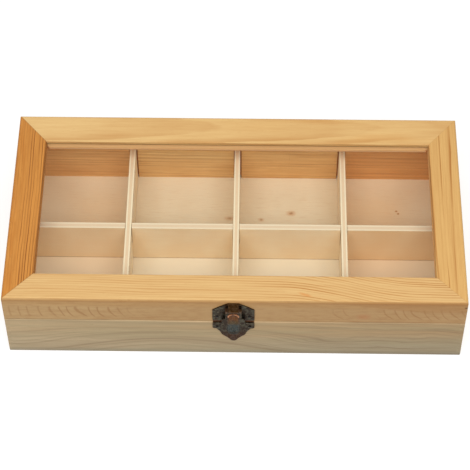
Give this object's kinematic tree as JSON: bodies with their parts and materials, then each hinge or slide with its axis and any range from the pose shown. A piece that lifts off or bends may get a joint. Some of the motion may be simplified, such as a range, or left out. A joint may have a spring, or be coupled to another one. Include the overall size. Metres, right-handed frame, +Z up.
{
  "type": "tea bag organizer box",
  "caption": "Low wooden tea box with a grid of lift-out dividers, a hinged lid with a glass window and a bronze duckbill hasp.",
  "frame": {"origin": "centre of the box's underside, on the surface that the box stands on", "axes": "+Z up; +X to the right, along the long front; the hasp is on the front at -Y and the hinges are at the back at +Y"},
  "size_m": [0.33, 0.1818, 0.066],
  "materials": {
    "base_pine": "planed and sanded pine, unvarnished",
    "bottom_ply": "pale sanded plywood",
    "divider_ply": "pale three-layer plywood with bare edges",
    "lid_pine": "planed and sanded pine, unvarnished",
    "lid_pine_dark": "darker straight-grained pine, unvarnished",
    "window_glass": "clear polished sheet glass",
    "bead_pine": "fine sanded pine moulding",
    "aged_bronze": "antique bronze plating over stamped steel, copper showing on worn edges",
    "hinge_bronze": "antique bronze plating over stamped steel",
    "pin_steel": "dark drawn wire",
    "nail_bronze": "blackened bronze nail heads"
  },
  "bodies": {
    "base": {"front_board": "base_pine", "back_board": "base_pine", "left_board": "base_pine", "right_board": "base_pine", "bottom_panel": "bottom_ply", "long_divider": "divider_ply", "left_cross_divider": "divider_ply", "middle_cross_divider": "divider_ply", "right_cross_divider": "divider_ply", "hasp_lower_plate": "aged_bronze", "hasp_lower_nails": "nail_bronze", "left_hinge_base_leaf": "hinge_bronze", "right_hinge_base_leaf": "hinge_bronze", "left_hinge_pin": "pin_steel", "right_hinge_pin": "pin_steel", "hinge_base_nails": "nail_bronze"},
    "lid": {"lid_front_rail": "lid_pine", "lid_back_rail": "lid_pine", "lid_left_rail": "lid_pine_dark", "lid_right_rail": "lid_pine", "glass_pane": "window_glass", "front_glass_bead": "bead_pine", "back_glass_bead": "bead_pine", "left_glass_bead": "bead_pine", "right_glass_bead": "bead_pine", "hasp_upper_plate": "aged_bronze", "hasp_upper_nails": "nail_bronze", "left_hinge_lid_leaf": "hinge_bronze", "right_hinge_lid_leaf": "hinge_bronze", "hinge_lid_nails": "nail_bronze"},
    "flap": {"hasp_flap": "aged_bronze", "hasp_pin": "pin_steel"}
  },
  "joints": [
    {"name": "lid_hinge", "type": "hinge", "parent": "base", "child": "lid", "pos_m": [0, 0.0863, 0.0405], "axis": [-1, 0, 0], "range_deg": [0, 105]},
    {"name": "hasp_swing", "type": "hinge", "parent": "lid", "child": "flap", "pos_m": [-0.0007, -0.0873, 0.0586], "axis": [-1, 0, 0], "range_deg": [0, 150]}
  ]
}
